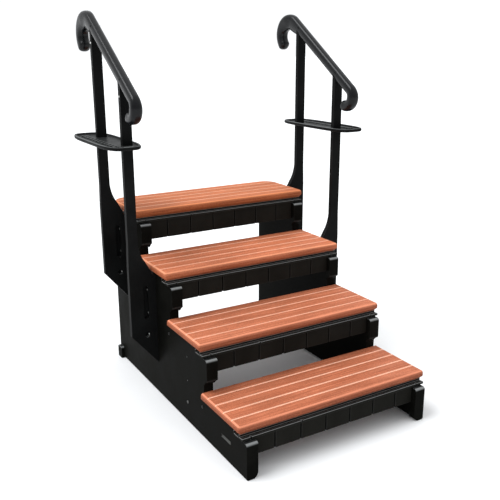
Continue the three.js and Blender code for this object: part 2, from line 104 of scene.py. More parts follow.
def rail_z(y):
    """The height of the rail's centreline over a place along its straight stretch."""
    return top_of(1) + (y - front_of(1)) / RUN * RISE + RAIL["above"]


# ---- materials ------------------------------------------------------------------------------
# Places among a Mix node's sockets of its factor and two colours, and of the colour that comes out.
MIX_SOCKETS = (0, 6, 7)
MIX_RESULT = 2


class Shader:
    """A material's node tree, with short calls for the nodes used here."""

    def __init__(self, name):
        self.material = bpy.data.materials.new(name)
        self.material.use_nodes = True
        self.tree = self.material.node_tree
        self.surface = self.tree.nodes["Principled BSDF"]
        self.coordinates = self.tree.nodes.new("ShaderNodeTexCoord").outputs["Object"]

    def node(self, kind, **settings):
        made = self.tree.nodes.new(kind)
        for name, value in settings.items():
            setattr(made, name, value)
        return made

    def link(self, source, target):
        self.tree.links.new(source, target)

    def noise(self, scale=1, stretch=(1, 1, 1), detail=4, roughness=0.55):
        mapping = self.node("ShaderNodeMapping")
        mapping.inputs["Scale"].default_value = stretch
        self.link(self.coordinates, mapping.inputs["Vector"])
        made = self.node("ShaderNodeTexNoise")
        made.inputs["Scale"].default_value = scale
        made.inputs["Detail"].default_value = detail
        made.inputs["Roughness"].default_value = roughness
        self.link(mapping.outputs["Vector"], made.inputs["Vector"])
        return made.outputs["Fac"]

    def ramp(self, value, *stops):
        made = self.node("ShaderNodeValToRGB")
        elements = made.color_ramp.elements
        while len(elements) < len(stops):
            elements.new(0.5)
        for element, (place, colour) in zip(elements, stops):
            element.position = place
            element.color = (*colour, 1)
        self.link(value, made.inputs["Fac"])
        return made.outputs["Color"]

    def spread(self, value, low, high, from_low=0.3, from_high=0.7):
        made = self.node("ShaderNodeMapRange")
        made.inputs["From Min"].default_value = from_low
        made.inputs["From Max"].default_value = from_high
        made.inputs["To Min"].default_value = low
        made.inputs["To Max"].default_value = high
        self.link(value, made.inputs["Value"])
        return made.outputs["Result"]

    def blend(self, share, first, second, mode="MIX"):
        """Two colours mixed; each of the three can be a plain value or another node's output."""
        made = self.node("ShaderNodeMix", data_type="RGBA", blend_type=mode)
        for place, source in zip(MIX_SOCKETS, (share, first, second)):
            socket = made.inputs[place]
            if isinstance(source, (int, float)):
                socket.default_value = source
            elif isinstance(source, tuple):
                socket.default_value = (*source, 1)
            else:
                self.link(source, socket)
        return made.outputs[MIX_RESULT]

    def bump(self, height, distance, strength, under=None):
        made = self.node("ShaderNodeBump")
        made.inputs["Distance"].default_value = distance
        made.inputs["Strength"].default_value = strength
        self.link(height, made.inputs["Height"])
        if under is not None:
            self.link(under, made.inputs["Normal"])
        return made.outputs["Normal"]

    def product(self, first, second):
        made = self.node("ShaderNodeMath", operation="MULTIPLY")
        self.link(first, made.inputs[0])
        self.link(second, made.inputs[1])
        return made.outputs["Value"]

    def up_facing(self):
        split = self.node("ShaderNodeSeparateXYZ")
        self.link(self.node("ShaderNodeNewGeometry").outputs["Normal"], split.inputs["Vector"])
        return split.outputs["Z"]

    # The narrow convex edge strips, used for rubbed wear and painted highlight.
    def edge_wear_and_highlight(self):
        made = self.node("ShaderNodeAttribute", attribute_name="edge_wear_and_highlight")
        return made.outputs["Fac"]

    def finish(self, colour, roughness, normal, specular=0.5, metallic=0.0):
        self.link(colour, self.surface.inputs["Base Color"])
        self.link(roughness, self.surface.inputs["Roughness"])
        self.link(normal, self.surface.inputs["Normal"])
        self.surface.inputs["Specular IOR Level"].default_value = specular
        self.surface.inputs["Metallic"].default_value = metallic
        return self.material


def lighter(colour, gain, lift):
    return tuple(min(1, channel * gain + lift) for channel in colour)


def composite_board(name, dark, middle, light, sides=(0.56, 0.5, 0.46)):
    """Wood-plastic board: long streaks, mixed-in flecks, brushed grain, painted shade on the faces that
    don't face up (the sides colour), and paler up-facing edges that are partly rubbed wear and partly
    painted highlight.
    """
    shader = Shader(name)
    streaks = shader.noise(stretch=(4.5, 170, 170), detail=6, roughness=0.66)
    clouds = shader.noise(scale=5.5, stretch=(1, 2.6, 2.6))
    flecks = shader.noise(stretch=(230, 290, 290), detail=3, roughness=0.65)
    speckle = shader.noise(scale=900, detail=2)
    colour = shader.ramp(streaks, (0.29, dark), (0.5, middle), (0.71, light))
    cloudy = shader.ramp(clouds, (0.3, (0.84, 0.82, 0.8)), (0.7, (1.08, 1.05, 1.03)))
    colour = shader.blend(1.0, colour, cloudy, "MULTIPLY")
    mixed = shader.ramp(flecks, (0.36, (0.68, 0.64, 0.6)), (0.64, (1.26, 1.22, 1.2)))
    colour = shader.blend(0.85, colour, mixed, "MULTIPLY")
    # Painted shade: faces that don't face up are multiplied by the sides colour, so they come out darker
    # than the tops.
    painted_side_shade = shader.ramp(shader.up_facing(), (0.25, sides), (0.8, (1, 1, 1)))
    colour = shader.blend(1.0, colour, painted_side_shade, "MULTIPLY")
    # Up-facing convex edge strips turn paler: partly rubbed wear, partly a painted highlight where the
    # light catches them.
    edges = shader.spread(shader.edge_wear_and_highlight(), low=0, high=0.75, from_low=0.05, from_high=0.7)
    worn_and_highlit_edges = shader.product(edges, shader.up_facing())
    colour = shader.blend(worn_and_highlit_edges, colour, lighter(light, gain=1.4, lift=0.03))
    grain = shader.noise(stretch=(14, 620, 620), detail=5, roughness=0.7)
    normal = shader.bump(grain, distance=0.4 * MM, strength=0.5)
    normal = shader.bump(speckle, distance=0.2 * MM, strength=0.45, under=normal)
    roughness = shader.spread(streaks, low=0.72, high=0.56)
    return shader.finish(colour, roughness, normal, specular=0.14)


def moulded_black(name, base, pale, rough, specular, texture=760, dusty=0.1):
    """Black moulded plastic: grained skin, handling marks, dust on what faces up, and paler up-facing edges
    that are partly rubbing and partly painted highlight.
    """
    shader = Shader(name)
    clouds = shader.noise(scale=7, detail=5, roughness=0.6)
    scuffs = shader.noise(scale=30, stretch=(1, 1, 4.5), detail=6, roughness=0.72)
    skin = shader.noise(scale=texture, detail=3)
    colour = shader.ramp(clouds, (0.36, base), (0.75, pale))
    marks = shader.spread(scuffs, low=0, high=0.3, from_low=0.62, from_high=0.8)
    colour = shader.blend(marks, colour, lighter(pale, gain=1.6, lift=0.002))
    upward = shader.spread(shader.up_facing(), low=0, high=1, from_low=0.15, from_high=0.85)
    dust = shader.product(upward, shader.spread(scuffs, low=dusty * 0.2, high=dusty))
    colour = shader.blend(dust, colour, DUST_AND_HIGHLIGHT_GREY)
    # Painted highlight, partly rubbing: convex edge strips that face up are blended towards the grey.
    edges = shader.spread(shader.edge_wear_and_highlight(), low=0, high=1, from_low=0.06, from_high=0.36)
    lit_edge_share = shader.spread(upward, low=0.06, high=0.7, from_low=0, from_high=0.8)
    colour = shader.blend(shader.product(edges, lit_edge_share), colour, DUST_AND_HIGHLIGHT_GREY)
    normal = shader.bump(skin, distance=0.12 * MM, strength=0.5)
    normal = shader.bump(clouds, distance=0.5 * MM, strength=0.12, under=normal)
    return shader.finish(colour, shader.spread(clouds, *rough), normal, specular)


def steel(name, dull, bright):
    """Turned bolt heads with fine scratches and a little tarnish."""
    shader = Shader(name)
    tarnish = shader.noise(scale=420)
    scratches = shader.noise(scale=60, stretch=(30, 1, 1))
    colour = shader.ramp(tarnish, (0.35, dull), (0.6, bright))
    normal = shader.bump(scratches, distance=0.06 * MM, strength=0.5)
    roughness = shader.spread(tarnish, low=0.24, high=0.46)
    return shader.finish(colour, roughness, normal, metallic=1.0)


# The dark, middle and light tone of each step's board; the four boards differ a little.
BOARD_TONES = {
    1: ((0.345, 0.095, 0.044), (0.49, 0.158, 0.08), (0.64, 0.23, 0.128)),
    2: ((0.38, 0.108, 0.05), (0.54, 0.177, 0.09), (0.7, 0.255, 0.143)),
    3: ((0.45, 0.126, 0.056), (0.63, 0.205, 0.1), (0.8, 0.29, 0.156)),
    4: ((0.395, 0.108, 0.039), (0.55, 0.172, 0.068), (0.7, 0.244, 0.103)),
}
# The grey of dust on up-facing faces, and of the painted highlight and rubbing on up-facing edges.
DUST_AND_HIGHLIGHT_GREY = (0.3, 0.31, 0.31)
BOARD = {step: composite_board(f"board_{step}", *tones) for step, tones in BOARD_TONES.items()}
# Painted highlight: the groove faces are coloured much paler than the boards, for the light lines along the
# grooves, and get no painted side shade.
GROOVE_HIGHLIGHT = composite_board(
    "groove_highlight", (0.78, 0.33, 0.23), (0.89, 0.43, 0.31), (0.95, 0.51, 0.38), sides=(1, 1, 1))
FRAME_BLACK = moulded_black(
    "frame_black", (0.0034, 0.0034, 0.0029), (0.0075, 0.0075, 0.0063), rough=(0.36, 0.56), specular=0.01)
# Painted light: the hand slot's faces are a pale grey, for the sky light on the slot's floor and lip.
SLOT_PAINTED_LIGHT = moulded_black(
    "slot_painted_light", (0.045, 0.046, 0.043), (0.085, 0.086, 0.08), rough=(0.4, 0.56), specular=0.05)
APRON_BLACK = moulded_black(
    "apron_black", (0.0105, 0.0102, 0.0088), (0.016, 0.0156, 0.0134), rough=(0.4, 0.56), specular=0.01)
POST_BLACK = moulded_black(
    "post_black", (0.006, 0.0062, 0.0062), (0.0105, 0.011, 0.011),
    rough=(0.32, 0.46), specular=0.02, texture=1100, dusty=0.08,
)
RAIL_BLACK = moulded_black(
    "rail_black", (0.0022, 0.0026, 0.0032), (0.005, 0.0057, 0.007),
    rough=(0.2, 0.28), specular=0.2, texture=1100, dusty=0.02,
)
ZINC = steel("zinc_steel", (0.42, 0.42, 0.4), (0.72, 0.72, 0.7))
DULL_ZINC = steel("dull_zinc", (0.06, 0.06, 0.058), (0.16, 0.16, 0.155))
BLACK_OXIDE = steel("black_oxide", (0.02, 0.02, 0.02), (0.05, 0.05, 0.05))


# ---- mesh helpers ---------------------------------------------------------------------------
SLIVER = 0.002 * MM
BEVEL_FROM = math.radians(28)
FULL_EDGE_TURN = math.radians(45)


def new_object(name, mesh, materials):
    for material in materials:
        mesh.materials.append(material)
    made = bpy.data.objects.new(name, mesh)
    bpy.context.scene.collection.objects.link(made)
    return made


def bake_mesh(shape):
    mesh = bpy.data.meshes.new("shape")
    bmesh.ops.recalc_face_normals(shape, faces=shape.faces)
    shape.to_mesh(mesh)
    shape.free()
    return mesh


def place_on(axis, a, b, along):
    """A point of an outline drawn across one axis: (y, z) across x, (x, z) across y, (x, y) across z."""
    return {"x": (along, a, b), "y": (a, along, b), "z": (a, b, along)}[axis]


def prism(outline, axis, start, end, shape=None, material=0):
    shape = shape or bmesh.new()
    low = [shape.verts.new(place_on(axis, a, b, start)) for a, b in outline]
    high = [shape.verts.new(place_on(axis, a, b, end)) for a, b in outline]
    faces = [shape.faces.new(low), shape.faces.new(list(reversed(high)))]
    for i, corner in enumerate(low):
        after = (i + 1) % len(low)
        faces.append(shape.faces.new((corner, high[i], high[after], low[after])))
    for face in faces:
        face.material_index = material
    return shape


def box_shape(x, y, z, shape=None, material=0):
    corners = [(y[0], z[0]), (y[1], z[0]), (y[1], z[1]), (y[0], z[1])]
    return prism(corners, "x", x[0], x[1], shape, material)


def full_turn(count):
    return [2 * math.pi * i / count for i in range(count)]


def rounded_square(turn, squareness):
    """A point of a superellipse of half-width 1; squareness 2 is a circle, and more is squarer."""
    power = 2 / squareness
    across = math.copysign(abs(math.cos(turn)) ** power, math.cos(turn))
    along = math.copysign(abs(math.sin(turn)) ** power, math.sin(turn))
    return across, along


def rod(centre, radius, axis, start, end, shape=None, sides=24):
    ring = []
    for turn in full_turn(sides):
        ring.append((centre[0] + radius * math.cos(turn), centre[1] + radius * math.sin(turn)))
    return prism(ring, axis, start, end, shape)


def loft(rings):
    """Skins a stack of rings that have the same number of points, and closes both ends."""
    shape = bmesh.new()
    rows = [[shape.verts.new(point) for point in ring] for ring in rings]
    for lower, upper in zip(rows, rows[1:]):
        for i, corner in enumerate(lower):
            after = (i + 1) % len(lower)
            shape.faces.new((corner, lower[after], upper[after], upper[i]))
    shape.faces.new(list(reversed(rows[0])))
    shape.faces.new(rows[-1])
    return shape


def combined(shape, tool, operation):
    """The first shape with the second cut away, added or kept in common.

    The two materials only keep the faces' material numbers through the modifier.
    """
    meshes = [bake_mesh(shape), bake_mesh(tool)]
    objects = [new_object("combining", mesh, [FRAME_BLACK, GROOVE_HIGHLIGHT]) for mesh in meshes]
    modifier = objects[0].modifiers.new("combine", "BOOLEAN")
    modifier.operation = operation
    modifier.solver = "EXACT"
    modifier.object = objects[1]
    depsgraph = bpy.context.evaluated_depsgraph_get()
    result = bmesh.new()
    result.from_mesh(objects[0].evaluated_get(depsgraph).data)
    for made in objects:
        bpy.data.objects.remove(made)
    bmesh.ops.dissolve_degenerate(result, edges=result.edges, dist=SLIVER)
    return result


def to_side(shape, sign):
    """Mirrors a shape made for the right-hand side when the left-hand one is wanted."""
    if sign < 0:
        bmesh.ops.scale(shape, vec=(-1, 1, 1), verts=shape.verts)
        bmesh.ops.reverse_faces(shape, faces=shape.faces)
    return shape


def arc(centre_a, centre_b, radius, start, end, pieces=6):
    """Points on a circle; angles in degrees."""
    points = []
    for i in range(pieces + 1):
        angle = math.radians(start + (end - start) * i / pieces)
        points.append((centre_a + radius * math.cos(angle), centre_b + radius * math.sin(angle)))
    return points


def piece(name, shape, materials, nodes, bevel=0.0, segments=3, sharp=38, strip=3.2 * MM):
    """Turns a shape into a finished piece that stands for its CAD node."""
    made = new_object(name, bake_mesh(shape), materials)
    if bevel:
        rounding = made.modifiers.new("rounding", "BEVEL")
        rounding.width = bevel
        rounding.segments = segments
        rounding.limit_method = "ANGLE"
        rounding.angle_limit = BEVEL_FROM
        bpy.context.view_layer.update()
        depsgraph = bpy.context.evaluated_depsgraph_get()
        rounded = bpy.data.meshes.new_from_object(made.evaluated_get(depsgraph))
        made.modifiers.remove(rounding)
        made.data = rounded
    add_edge_wear_and_highlight(made.data, strip)
    made.data.shade_smooth()
    made.data.set_sharp_from_angle(angle=math.radians(sharp))
    if bevel:
        flat = made.modifiers.new("flat_faces", "WEIGHTED_NORMAL")
        flat.keep_sharp = True
    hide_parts(*nodes)
    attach(made, "root")


def add_edge_wear_and_highlight(mesh, strip):
    """Marks the narrow convex strips along the edges, for their rubbed wear and painted highlight."""
    shape = bmesh.new()
    shape.from_mesh(mesh)
    shape.normal_update()
    values = []
    for face in shape.faces:
        width = face.calc_area() / max(edge.calc_length() for edge in face.edges)
        turns = [edge.calc_face_angle_signed(0.0) for edge in face.edges if edge.is_manifold]
        turn = max(turns, default=0.0) if width < strip else 0.0
        values.append(min(1.0, max(0.0, turn / FULL_EDGE_TURN)))
    shape.free()
    attribute = mesh.attributes.new("edge_wear_and_highlight", "FLOAT", "FACE")
    attribute.data.foreach_set("value", values)


# ---- treads ---------------------------------------------------------------------------------
# Each row is the inset of the front and ends, the inset of the rear, and the drop, in millimetres.
EDGE_PROFILE = [
    (14.0, 0.0, 38.0), (13.2, 0.0, 37.2), (0.7, 0.0, 23.9), (0.1, 0.0, 22.9), (0.0, 0.0, 22.0),
    (0.0, 0.0, 12.0), (0.2, 0.0, 10.9), (2.6, 0.0, 5.0), (3.3, 0.3, 3.9), (8.2, 1.4, 0.5), (9.2, 2.0, 0.0),
]
FRONT_CORNER = 11 * MM
REAR_CORNER = 3 * MM
TOP_STEP_CORNER = 70 * MM
LEAST_FRONT_CORNER = 1.5 * MM
LEAST_REAR_CORNER = 1 * MM
CORNER_PIECES = 8
GROOVE_COUNT = 4
GROOVE_PITCH = 64 * MM
# Each point is the place across the groove and the height over the board's top, in millimetres.
GROOVE_SECTION = [(-4.8, 0.8), (-3.1, -0.9), (-2.2, -3.0), (2.2, -3.0), (3.1, -0.9), (4.8, 0.8)]
POCKET = {
    "count": 3, "half": 378 * MM, "rib": 12 * MM,
    "front": 66 * MM, "rear": 250 * MM, "skin": 10 * MM,
}


def board_outline(step, inset, rear_inset):
    left, right = -TREAD_HALF + inset, TREAD_HALF - inset
    low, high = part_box(f"tread_{step}")
    front, rear = low.y + inset, high.y - rear_inset
    rear_corner, pieces = REAR_CORNER, CORNER_PIECES
    if step == STEPS[-1]:
        rear_corner, pieces = TOP_STEP_CORNER, 2 * CORNER_PIECES
    near = max(FRONT_CORNER - inset, LEAST_FRONT_CORNER)
    far = max(rear_corner - inset, LEAST_REAR_CORNER)
    points = arc(left + near, front + near, near, 180, 270, CORNER_PIECES)
    points += arc(right - near, front + near, near, 270, 360, CORNER_PIECES)
    points += arc(right - far, rear - far, far, 0, 90, pieces)
    points += arc(left + far, rear - far, far, 90, 180, pieces)
    return points


def tread_board(step):
    """A board with a moulded edge, four routed grooves and three pockets underneath."""
    top = top_of(step)
    rings = []
    for inset, rear_inset, drop in EDGE_PROFILE:
        outline = board_outline(step, inset * MM, rear_inset * MM)
        rings.append([(x, y, top - drop * MM) for x, y in outline])
    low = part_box(f"tread_{step}")[0]
    cutters = bmesh.new()
    for groove in range(1, GROOVE_COUNT + 1):
        y = low.y + groove * GROOVE_PITCH
        section = [(y + across * MM, top + up * MM) for across, up in GROOVE_SECTION]
        prism(section, "x", -TREAD_HALF - GAP, TREAD_HALF + GAP, cutters, material=1)
    pitch = (2 * POCKET["half"] + POCKET["rib"]) / POCKET["count"]
    for bay in range(POCKET["count"]):
        start = bay * pitch - POCKET["half"]
        box_shape(
            (start, start + pitch - POCKET["rib"]),
            (low.y + POCKET["front"], low.y + POCKET["rear"]),
            (top - SHELF_DROP - WELL_PAST, top - POCKET["skin"]),
            cutters,
        )
    shape = combined(loft(rings), cutters, "DIFFERENCE")
    # The grooves' faces take the painted-highlight colour.
    materials = [BOARD[step], GROOVE_HIGHLIGHT]
    nodes = [f"tread_{step}"]
    piece(f"composite_board_{step}", shape, materials, nodes, sharp=15, strip=7 * MM)


for step in STEPS:
    tread_board(step)

# ---- cross beams ----------------------------------------------------------------------------
BEAM_WALL = 6 * MM
LEDGE = {
    "drop": 46 * MM, "reach": 8 * MM, "root": 4 * MM,
    "half": 448 * MM, "end": 408 * MM, "split": 2.5 * MM,
}
# The number of the apron groove, counted from 0 at the left, that each step's middle split is over.
LEDGE_NOTCH = {1: 1, 2: 1, 3: 4, 4: 1}
APRON = {
    "grooves": 6, "pitch": 119.5 * MM, "gap": 7.4 * MM,
    "depth": 5.4 * MM, "plate": 3 * MM, "tuck": 2 * MM,
}
UNDERCUT = 14 * MM
REAR_FLANGE = 44 * MM


def stretches(stops, gap):
    """The stretches between neighbouring stops, each a gap short of the stops between the two ends."""
    found = []
    for left, right in zip(stops, stops[1:]):
        start = left + gap if left > stops[0] else left
        end = right - gap if right < stops[-1] else right
        found.append((start, end))
    return found


def front_beam(step):
    """A seat channel with a split lip in front, over an apron of raised panels on a backing plate."""
    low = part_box(f"front_beam_{step}")[0]
    front, top = front_of(step), top_of(step)
    seat, under = top - SEAT_DROP, top - SHELF_DROP - GAP
    rear = front + FLANGE_DEPTH
    web = front + UNDERCUT + BEAM_WALL
    lip = top - LEDGE["drop"] - PAST
    channel = [
        (front + PAST, seat), (rear, seat), (rear, under), (rear - BEAM_WALL, under),
        (rear - BEAM_WALL, seat + BEAM_WALL), (web, seat + BEAM_WALL), (web, under),
        (front + UNDERCUT, under), (front + UNDERCUT, lip), (front + PAST, lip),
    ]
    shape = prism(channel, "x", -LEDGE["half"], LEDGE["half"])
    grooves = [(n - (APRON["grooves"] - 1) / 2) * APRON["pitch"] for n in range(APRON["grooves"])]
    notch = grooves[LEDGE_NOTCH[step]]
    stops = [-LEDGE["half"], -LEDGE["end"], notch, LEDGE["end"], LEDGE["half"]]
    for sides in stretches(stops, LEDGE["split"]):
        depth = (front - LEDGE["reach"], front + LEDGE["root"])
        box_shape(sides, depth, (seat, top - LEDGE["drop"]), shape)
    half = PANEL_INNER - GAP
    plate = front + APRON["depth"]
    depth = (plate, plate + APRON["plate"])
    # Painted shade: the backing plate behind the apron's grooves takes the darker frame black, to darken
    # the grooves.
    box_shape((-half, half), depth, (low.z, seat + APRON["tuck"]), shape, material=1)
    for sides in stretches([-half, *grooves, half], APRON["gap"] / 2):
        box_shape(sides, (front, front + BEAM_WALL), (low.z, seat + PAST), shape)
    # The second material, the darker frame black on the backing plate, is painted shade in the grooves.
    materials = [APRON_BLACK, FRAME_BLACK]
    nodes = [f"front_beam_{step}"]
    piece(f"apron_beam_{step}", shape, materials, nodes, bevel=2 * MM)


def rear_beam(step):
    """A channel that lies open to the front and carries the tread's back edge."""
    low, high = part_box(f"rear_beam_{step}")
    shelf = high.y - REAR_FLANGE
    section = [
        (high.y, high.z), (shelf, high.z), (shelf, high.z - BEAM_WALL),
        (high.y - BEAM_WALL, high.z - BEAM_WALL), (high.y - BEAM_WALL, low.z + BEAM_WALL),
        (shelf, low.z + BEAM_WALL), (shelf, low.z), (high.y, low.z),
    ]
    shape = prism(section, "x", low.x, high.x)
    name, nodes = f"channel_beam_{step}", [f"rear_beam_{step}"]
    piece(name, shape, [FRAME_BLACK], nodes, bevel=1.2 * MM, segments=2)


for step in STEPS:
    front_beam(step)
    rear_beam(step)

# ---- side panels ----------------------------------------------------------------------------
HAND_SLOT = {
    "from": 94 * MM, "to": 166 * MM, "drop": 118 * MM, "half": 7 * MM, "depth": 7 * MM,
    "sill_inside": 2.1 * MM, "sill_outside": 8.4 * MM,
}
BOLT_HOLE = {"radius": 3.8 * MM, "depth": 5 * MM}
PAD_EDGE = 9 * MM


def panel_outline(step):
    """The plate from the side, with a notch at the top for the front beam's seat channel."""
    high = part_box(f"side_panel_{step}_right")[1]
    front, top = front_of(step), top_of(step)
    flange = front + FLANGE_DEPTH + GAP
    return [
        (front, 0), (high.y, 0), (high.y, high.z), (flange, high.z),
        (flange, top - SEAT_DROP - GAP), (front, top - SEAT_DROP - GAP),
    ]


def block_outline(step):
    """The front block from the side: round edges in front, and a sloping underside on the upper steps."""
    front, top = front_of(step), top_of(step)
    face, back = front - BLOCK_REACH, front + BLOCK["join"]
    edge = BLOCK["edge"]
    points = [(back, top - BLOCK["top"])]
    points += arc(face + edge, top - BLOCK["top"] - edge, edge, 90, 180)
    if step == STEPS[0]:
        return [*points, (face, 0), (back, 0)]
    points += arc(face + edge, top - BLOCK["bottom"] + edge, edge, 180, 270)
    slope = BLOCK["slope"] / BLOCK_REACH
    return [*points, (back, top - BLOCK["bottom"] - BLOCK["slope"] - BLOCK["join"] * slope)]


def section_outline(inner):
    """The panel seen from the front, with both bottom edges rounded."""
    tall = top_of(STEPS[-1])
    foot = arc(inner + FOOT_ROUND, FOOT_ROUND, FOOT_ROUND, 180, 270)
    heel = arc(PANEL_OUTER - HEEL_ROUND, HEEL_ROUND, HEEL_ROUND, 270, 360)
    return [(inner, tall), *foot, *heel, (PANEL_OUTER, tall)]


def side_panel(step, side, sign):
    """A plate and its front block as one shell, with the hand slot or the bolt holes cut in it."""
    reach = (front_of(step) - BLOCK_REACH - PAST, PANEL_REAR + PAST)
    plate = prism(panel_outline(step), "x", PANEL_INNER, PANEL_OUTER)
    plate = combined(plate, prism(section_outline(PANEL_INNER), "y", *reach), "INTERSECT")
    block = prism(block_outline(step), "x", BLOCK_INNER, PANEL_OUTER)
    block = combined(block, prism(section_outline(BLOCK_INNER), "y", *reach), "INTERSECT")
    front = front_of(step)
    cleared = (front - GAP, front + BLOCK["clear"])
    inside = box_shape((BLOCK_INNER - PAST, PANEL_INNER), cleared, (-PAST, top_of(step)))
    shape = combined(plate, combined(block, inside, "DIFFERENCE"), "UNION")
    cutters = bmesh.new()
    if step == STEPS[0]:
        slot = top_of(step) - HAND_SLOT["drop"]
        inner, outer = PANEL_OUTER - HAND_SLOT["depth"], PANEL_OUTER + PAST
        section = [
            (outer, slot + HAND_SLOT["half"]), (inner, slot + HAND_SLOT["half"]),
            (inner, slot + HAND_SLOT["sill_inside"]), (outer, slot - HAND_SLOT["sill_outside"]),
        ]
        ends = (front + HAND_SLOT["from"], front + HAND_SLOT["to"])
        prism(section, "y", *ends, cutters, material=1)
    else:
        places = [(post_y(step), top_of(step) - drop) for drop in BOLT_DROPS]
        places.append(joint_place(step))
        for place in places:
            depth = (PANEL_OUTER - BOLT_HOLE["depth"], PANEL_OUTER + PAST)
            rod(place, BOLT_HOLE["radius"], "x", *depth, cutters)
    shape = to_side(combined(shape, cutters, "DIFFERENCE"), sign)
    # The hand slot's faces take the pale grey of painted light.
    materials = [FRAME_BLACK, SLOT_PAINTED_LIGHT]
    nodes = [f"side_panel_{step}_{side}"]
    piece(f"panel_shell_{step}_{side}", shape, materials, nodes, bevel=2.6 * MM)


def joint_place(step):
    """Where the bolt that joins a panel to the one in front of it goes through, as (y, z)."""
    low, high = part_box(f"panel_joint_bolt_{step}_right")
    return ((low.y + high.y) / 2, (low.z + high.z) / 2)


def rear_pad(side, sign):
    low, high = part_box("rear_pad_right")
    outline = [(low.y, 0), (high.y, 0)]
    outline += arc(high.y - PAD_EDGE, high.z - PAD_EDGE, PAD_EDGE, 0, 90)
    outline += arc(low.y + PAD_EDGE, high.z - PAD_EDGE, PAD_EDGE, 90, 180)
    shape = to_side(prism(outline, "x", low.x, high.x), sign)
    nodes = [f"rear_pad_{side}"]
    piece(f"floor_pad_{side}", shape, [FRAME_BLACK], nodes, bevel=2 * MM)


# ---- handrails ------------------------------------------------------------------------------
RAIL_RING = 48
RAIL_SQUARENESS = 2.5
RAIL_CAP = {"rings": 8, "reach": 20 * MM}
RAIL_PIECES = {"scroll": 26, "straight": 40, "crook": 34}
SCROLL_SWELL = {"share": 0.4, "width": 3.2 * MM, "depth": 2.4 * MM}
CROOK_SWELL = {
    "share": 0.3, "width": 5 * MM, "depth": 26 * MM, "lead": 110 * MM, "run": 120 * MM,
    "fade": 0.78, "fade_from": 0.38, "fade_over": 0.45,
}


def smooth_step(value):
    value = min(1.0, max(0.0, value))
    return value * value * (3 - 2 * value)


def rail_stations():
    """Centreline points, from the scroll's tip to the crook's tip, with the swell of the section."""
    normal = math.pi / 2 + PITCH
    origin = front_of(1)

    def bend_centre(bend):
        y = origin + bend["start"]
        return (y - bend["radius"] * math.cos(normal), rail_z(y) - bend["radius"] * math.sin(normal))

    stations = []
    y0, z0 = bend_centre(SCROLL)
    for i in range(RAIL_PIECES["scroll"]):
        share = 1 - i / RAIL_PIECES["scroll"]
        angle = normal + SCROLL["turn"] * share
        swell = smooth_step(share / SCROLL_SWELL["share"])
        wider, deeper = SCROLL_SWELL["width"] * swell, SCROLL_SWELL["depth"] * swell
        stations.append((y0, z0, SCROLL["radius"], angle, wider, deeper))
    start, end = origin + SCROLL["start"], origin + CROOK["start"]
    for i in range(RAIL_PIECES["straight"]):
        y = start + (end - start) * i / RAIL_PIECES["straight"]
        stations.append((y, rail_z(y), 0, normal, 0, crook_depth(y - end, 0)))
    y1, z1 = bend_centre(CROOK)
    for i in range(RAIL_PIECES["crook"] + 1):
        share = i / RAIL_PIECES["crook"]
        angle = normal - CROOK["turn"] * share
        wider = CROOK_SWELL["width"] * smooth_step(share / CROOK_SWELL["share"])
        deeper = crook_depth(CROOK["turn"] * CROOK["radius"] * share, share)
        stations.append((y1, z1, CROOK["radius"], angle, wider, deeper))
    return stations


def crook_depth(travel, share):
    """Extra thickness on the inside of the crook: it grows near the rear post and fades towards the tip."""
    grown = smooth_step((travel + CROOK_SWELL["lead"]) / CROOK_SWELL["run"])
    faded = smooth_step((share - CROOK_SWELL["fade_from"]) / CROOK_SWELL["fade_over"])
    return CROOK_SWELL["depth"] * grown * (1 - CROOK_SWELL["fade"] * faded)


def rail_ring(station, grow, shrink=1.0, slide=0.0):
    """One cross-section. Its extra depth goes to the inside of the bend; the outside keeps its curve."""
    centre_y, centre_z, radius, angle, wider, deeper = station
    out = Vector((math.cos(angle), math.sin(angle)))
    along = Vector((-math.sin(angle), math.cos(angle)))
    centre = Vector((centre_y, centre_z)) + out * radius + along * slide
    ring = []
    for turn in full_turn(RAIL_RING):
        across, height = rounded_square(turn, RAIL_SQUARENESS)
        half_height = RAIL["half_height"] + grow + (deeper if height < 0 else 0)
        x = POST["centre"] + across * (RAIL["half_width"] + grow + wider) * shrink
        point = centre + out * (height * half_height * shrink)
        ring.append((x, point.x, point.y))
    return ring


def rail_shape(grow=0.0):
    """The rail with a domed cap on each tip; grown by the gap, it cuts its own seat in the posts."""
    stations = rail_stations()
    count, reach = RAIL_CAP["rings"], RAIL_CAP["reach"]
    turns = [math.radians(90 * (i + 0.5) / (count + 0.5)) for i in range(count)]
    rings = [rail_ring(stations[0], grow, math.sin(t), math.cos(t) * reach) for t in turns]
    rings += [rail_ring(station, grow) for station in stations]
    rings += [rail_ring(stations[-1], grow, math.sin(t), -math.cos(t) * reach) for t in reversed(turns)]
    return loft(rings)


def handrail(side, sign):
    shape = to_side(rail_shape(), sign)
    nodes = [f"handrail_{side}"]
    piece(f"grab_rail_{side}", shape, [RAIL_BLACK], nodes, sharp=60, strip=0)


# ---- posts ----------------------------------------------------------------------------------
FOOT = {
    "bottom": 320 * MM, "seat": 467 * MM, "tuck": 459 * MM, "tuck_top": 28 * MM, "tuck_low": 42 * MM,
}
FLARE = {
    "top": 104 * MM, "pull_in": 6 * MM, "pull_up": 52 * MM,
    "end_in": 28 * MM, "end_up": 22 * MM, "pieces": 10,
}
SLOT = {
    "from": 476 * MM, "to": 500 * MM, "top": 90 * MM, "bottom": 248 * MM, "back": 4 * MM,
    "pieces": 10, "sides": 28,
}
HEAD_INTO_RAIL = 0.4


